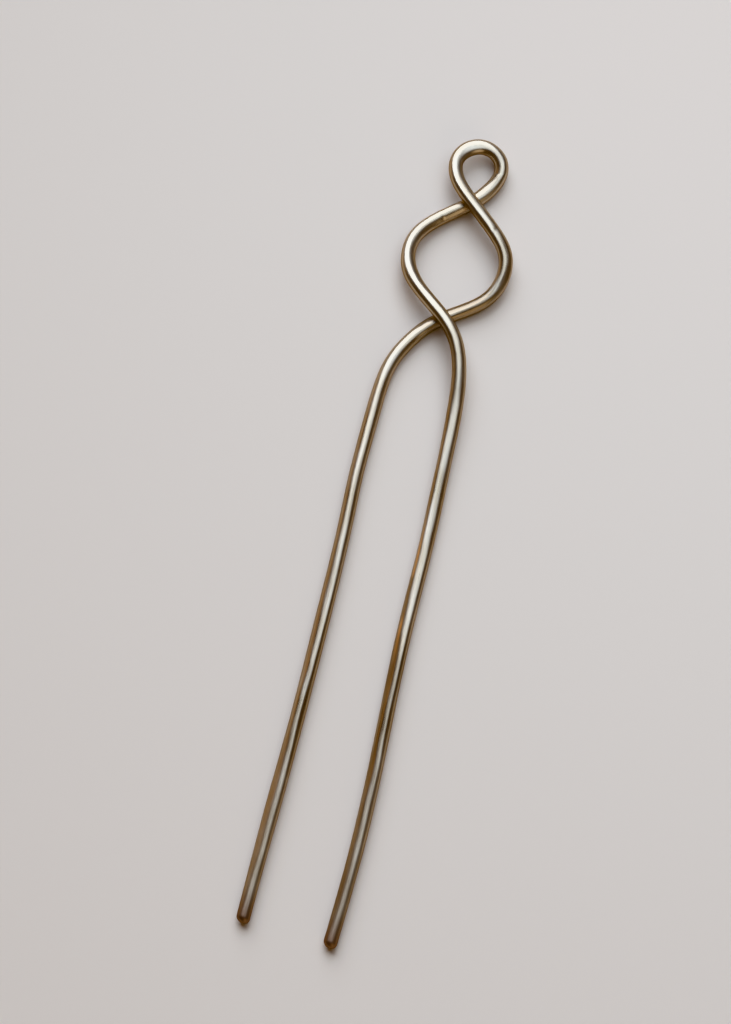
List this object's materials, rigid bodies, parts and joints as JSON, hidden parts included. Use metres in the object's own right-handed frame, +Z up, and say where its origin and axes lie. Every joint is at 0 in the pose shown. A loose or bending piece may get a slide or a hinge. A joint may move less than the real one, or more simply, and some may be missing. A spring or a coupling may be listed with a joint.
{
  "type": "hairpin",
  "caption": "Two-prong hairpin of round brass wire, bent in one length, with a small and a large open loop twisted into its head.",
  "frame": {"origin": "on the surface that the pin lies on, under the middle of its bounding box", "axes": "+Y along the pin from the prong tips to the head, +X to the right across the prongs, +Z up from the surface"},
  "size_m": [0.0163, 0.12, 0.0042],
  "materials": {
    "brass_wire": "satin"
  },
  "bodies": {
    "root": {"pin_wire": "brass_wire"}
  },
  "joints": []
}
